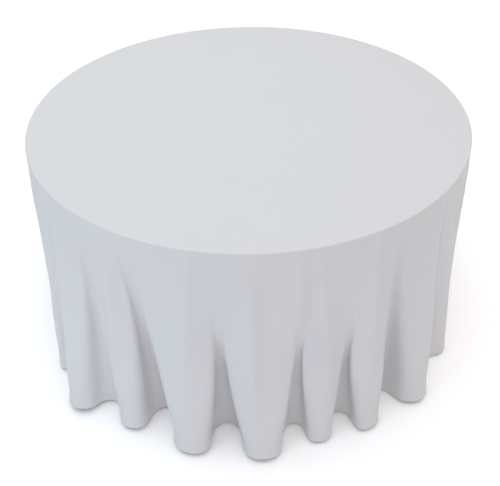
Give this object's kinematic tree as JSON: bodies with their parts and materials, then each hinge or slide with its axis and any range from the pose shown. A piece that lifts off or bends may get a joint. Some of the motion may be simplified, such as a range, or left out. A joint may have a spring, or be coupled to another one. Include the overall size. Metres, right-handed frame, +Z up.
{
  "type": "tablecloth on a table",
  "caption": "Round floor-length tablecloth draped in deep folds over a round folding banquet table.",
  "frame": {"origin": "on the floor under the centre of the table", "axes": "+Z up, -Y is the pictured front, +X to its right"},
  "size_m": [1.7288, 1.8364, 0.7633],
  "materials": {
    "cloth": "matt plain weave, white",
    "board": "clear lacquered birch plywood",
    "pine": "planed pine, oiled",
    "vinyl": "satin extruded vinyl, brown",
    "enamelled_steel": "dark brown baked enamel",
    "zinc": "bright zinc plate",
    "rubber": "matt black moulded rubber"
  },
  "bodies": {
    "table": {"table_top": "board", "edge_moulding": "vinyl", "runner_a": "pine", "hinge_bracket_a_front": "zinc", "hinge_bracket_a_back": "zinc", "stay_keeper_a": "zinc", "runner_b": "pine", "hinge_bracket_b_front": "zinc", "hinge_bracket_b_back": "zinc", "stay_keeper_b": "zinc", "hinge_bracket_a_front_screw_1": "zinc", "hinge_bracket_a_front_screw_2": "zinc", "hinge_bracket_a_back_screw_1": "zinc", "hinge_bracket_a_back_screw_2": "zinc", "stay_keeper_a_screw_1": "zinc", "stay_keeper_a_screw_2": "zinc", "hinge_bracket_b_front_screw_1": "zinc", "hinge_bracket_b_front_screw_2": "zinc", "hinge_bracket_b_back_screw_1": "zinc", "hinge_bracket_b_back_screw_2": "zinc", "stay_keeper_b_screw_1": "zinc", "stay_keeper_b_screw_2": "zinc"},
    "cloth": {"tablecloth": "cloth"},
    "leg_set_a": {"hinge_tube_a": "enamelled_steel", "crossbar_a": "enamelled_steel", "leg_tube_a_front": "enamelled_steel", "leg_tube_a_back": "enamelled_steel", "foot_cap_a_front": "rubber", "foot_cap_a_back": "rubber", "stay_collar_a_front": "zinc", "stay_collar_a_back": "zinc"},
    "stay_a": {"stay_a": "zinc"},
    "leg_set_b": {"hinge_tube_b": "enamelled_steel", "crossbar_b": "enamelled_steel", "leg_tube_b_front": "enamelled_steel", "leg_tube_b_back": "enamelled_steel", "foot_cap_b_front": "rubber", "foot_cap_b_back": "rubber", "stay_collar_b_front": "zinc", "stay_collar_b_back": "zinc"},
    "stay_b": {"stay_b": "zinc"}
  },
  "joints": [
    {"name": "cloth_lift", "type": "slide", "parent": "table", "child": "cloth", "axis": [0, 0, 1], "range_m": [0, 0.8]},
    {"name": "leg_set_a_fold", "type": "hinge", "parent": "table", "child": "leg_set_a", "pos_m": [-0.4, 0, 0.704], "axis": [0, -1, 0], "range_deg": [0, 95]},
    {"name": "stay_a_fold", "type": "hinge", "parent": "leg_set_a", "child": "stay_a", "pos_m": [-0.42528, -0.045, 0.4151], "axis": [0, -1, 0], "range_deg": [-140.35, 0]},
    {"name": "leg_set_b_fold", "type": "hinge", "parent": "table", "child": "leg_set_b", "pos_m": [0.4, 0, 0.674], "axis": [0, 1, 0], "range_deg": [0, 95]},
    {"name": "stay_b_fold", "type": "hinge", "parent": "leg_set_b", "child": "stay_b", "pos_m": [0.42528, 0.045, 0.3851], "axis": [0, 1, 0], "range_deg": [-142.92, 0]}
  ],
  "couplings": [
    {"joint": "stay_a_fold", "follows": "leg_set_a_fold", "ratio": -1.4772},
    {"joint": "stay_b_fold", "follows": "leg_set_b_fold", "ratio": -1.5043}
  ]
}
